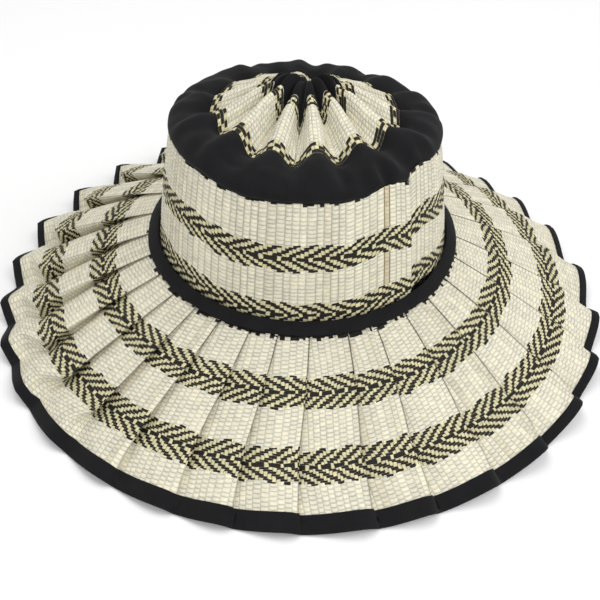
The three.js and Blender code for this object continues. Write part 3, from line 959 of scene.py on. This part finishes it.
# %% The puff and the centre
PUFF_DENTS = [                 # azimuth, radius, half width in degrees, half length in mm, depth in mm
    (34.2, 80, 2.6, 7, 4.5), (24, 79, 3.2, 8, 2.2), (16.5, 74, 2.6, 8, 2.6), (-2, 72, 4, 8, 1.4),
    (-22, 76, 3, 6, 1.6), (-34, 73, 7, 3, 1.8), (-52, 76, 4, 6, 1.6), (-75, 74, 3, 8, 1.8),
    (48, 76, 5, 5, 1.6), (58, 79, 2.5, 5, 1.6), (70, 72, 4, 7, 1.8), (95, 76, 3, 7, 2),
    (122, 74, 4, 8, 2), (150, 77, 3, 7, 2), (176, 74, 4, 8, 2), (-150, 76, 3, 7, 2),
    (-122, 73, 4, 8, 1.8), (-98, 77, 3, 6, 1.8),
]


def cloth_uv(grid):
    along = np.linalg.norm(np.diff(grid, axis=0), axis=-1).mean(axis=1)
    down = np.linalg.norm(np.diff(grid, axis=1), axis=-1).mean(axis=0)
    across = np.concatenate([[0], np.cumsum(along)]) / MM
    outwards = np.concatenate([[0], np.cumsum(down)]) / MM
    return np.stack(np.broadcast_arrays(across[:, None], outwards[None]), -1)


def puff_creases(azimuth, out):
    fading = ease((out - 56) / 8) * ease((86 - out) / 10)
    broad, fine = crumple(azimuth, out, 3, range(3, 12), 0.8), crumple(azimuth, out, 5, range(12, 34), 0.75)
    total = fading * (broad + fine)
    for at, reach, wide, long, deep in PUFF_DENTS:
        away = (azimuth - at + 180) % 360 - 180
        dent = np.exp(-((away / wide) ** 2) - ((out - reach) / long) ** 2)
        ridge = np.exp(-(((np.abs(away) - 2.1 * wide) / wide) ** 2) - ((out - reach) / long) ** 2)
        total = total + deep * (0.35 * ridge - dent) * ease((86 - out) / 4)
    return total


def centre_creases(azimuth, out):
    return ease(out / 6) * ease((21 - out) / 5) * crumple(azimuth, out, 8, range(14, 40), 0.5)


PUFF_STEPS, PUFF_COLUMNS = 80, 40
no_reach = np.zeros(PUFF_STEPS)
puff_azimuth, puff_out, puff_up = top_grid(PUFF_ROWS, PUFF_STEPS, PUFF_COLUMNS, puff_creases, no_reach)
above_lap = np.interp(puff_azimuth, [44, 48, 56, 63], [0, 1, 1, 0])
puff_out = puff_out - 2.0 * above_lap * ease((puff_out - 72) / 8)
puff_grid = place(puff_azimuth, puff_out, puff_up)
puff = make_sheet("crown_puff_cloth", puff_grid, cloth_uv(puff_grid), cotton, "crown_puff")

CENTRE_STEPS, CENTRE_COLUMNS = 44, 26
centre_reach = np.linspace(0, 1, CENTRE_STEPS) ** 3
centre_surface = top_grid(CENTRE_ROWS, CENTRE_STEPS, CENTRE_COLUMNS, centre_creases, centre_reach)
centre_grid = place(*centre_surface)
centre_uv = cloth_uv(centre_grid)
centre = make_sheet("centre_gather_cloth", centre_grid, centre_uv, cotton, "centre_gather")

# %% [markdown]
# ## The base band
#
# A folded cotton tape covers the join of wall and brim at a slant. A curve with this section as
# its bevel would give the same ring, but a grid has the UV map that the cotton needs. The
# section is rounded at both folds, and a slight wave keeps it from looking turned on a lathe.

# %% The base band
BAND_SECTION = [               # radius and height in mm
    (94.5, 48.9), (94.7, 50.8), (95.5, 51.4), (98.1, 50.2), (100.5, 48.5), (101.8, 47.2), (101.7, 46.3),
    (100.3, 46.5),
]


def make_band():
    azimuth = np.linspace(0, 360, 361)[:, None]
    radius, height = (part[None] for part in through(BAND_SECTION, 29).T)
    wave = crumple(azimuth, radius, 21, range(5, 30, 3), 0.15)
    return place(azimuth, radius + wave, height + 0.6 * wave)


band_grid = make_band()
band = make_sheet("base_band_tape", band_grid, cloth_uv(band_grid), cotton, "base_band")

# %% [markdown]
# ## The floor
#
# The hat stands on a plain white surface with only a soft shadow near it. A large plane is
# enough, because the camera never sees its edge.

# %% The floor
FLOOR_SIZE = 6.0
bpy.ops.mesh.primitive_plane_add(size=FLOOR_SIZE)
floor = bpy.context.object
floor.name = "floor"
paint, _, floor_shader = new_material("white floor", 0.9, 0.5)
floor_shader.inputs["Base Color"].default_value = (0.9, 0.9, 0.9, 1)
floor.data.materials.append(paint)
floor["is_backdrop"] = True
print("the floor is", FLOOR_SIZE, "m wide")

# %% [markdown]
# ## The light
#
# The real light is even and comes from all round, as in a white room. A picture of a room
# could light the scene, but a plain white world and three large lamps are easier to steer: the
# one at the right gives the pleats their shading, and the ones above and in front soften it.

# %% Lights
def soft_light(name, place_at, size, watts):
    lamp = bpy.data.lights.new(name, "AREA")
    lamp.size, lamp.energy = size, watts
    held = bpy.data.objects.new(name, lamp)
    held.location = place_at
    held.rotation_euler = (Vector((0, 0, 0.06)) - held.location).to_track_quat("-Z", "Y").to_euler()
    bpy.context.scene.collection.objects.link(held)
    held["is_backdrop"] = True
    print("the", name, "lamp is", size, "m wide, with", watts, "W")


soft_light("key", (1.15, -0.4, 1.35), 1.4, 12.5)
soft_light("top", (-0.4, 0.5, 1.7), 1.3, 11)
soft_light("front", (0.0, -1.45, 1.0), 1.0, 8)
world = bpy.data.worlds.new("studio")
world.use_nodes = True
world.node_tree.nodes["Background"].inputs["Color"].default_value = (1, 1, 1, 1)
world.node_tree.nodes["Background"].inputs["Strength"].default_value = 0.56
bpy.context.scene.world = world
bpy.context.scene.view_settings.view_transform = "Standard"

# %% [markdown]
# ## The camera
#
# The camera looks down at the hat from the front. It could be placed by eye, but one that is
# worked out from the brim's outline, the band and the crown's rim shows each fold where it
# should be. It is given about the hat's own axis like the rest: a target, a distance, how far
# it looks down, and a small roll.

# %% Camera
VIEW_TARGET = Vector((-0.2, 0, -20.5)) * MM
VIEW_DISTANCE, VIEW_DOWN, VIEW_ROLL = 0.650, 43.2, 1.7
camera = bpy.data.objects.new("camera", bpy.data.cameras.new("camera"))
camera.data.sensor_width, camera.data.lens = 36, 54.36
camera.matrix_world = (
    hat_axis
    @ Matrix.Translation(VIEW_TARGET)
    @ Matrix.Rotation(math.radians(90 - VIEW_DOWN), 4, "X")
    @ Matrix.Rotation(math.radians(VIEW_ROLL), 4, "Z")
    @ Matrix.Translation((0, 0, VIEW_DISTANCE))
)
bpy.context.scene.collection.objects.link(camera)
bpy.context.scene.camera = camera
print("camera at", [round(x, 3) for x in camera.matrix_world.translation])

# %% [markdown]
# ## Last measures
#
# Both boxes are measured, and the script prints how far the visual model grows past the box of the
# solids before the scene is finished. The visual model has to stay the size of the solids.

# %% Sizes and finish
low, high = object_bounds()
below = [round((x - y) / MM, 1) for x, y in zip(cad_low, low)]
above = [round((y - x) / MM, 1) for x, y in zip(cad_high, high)]
print("the visual model grows by", below, "mm below and", above, "mm above")
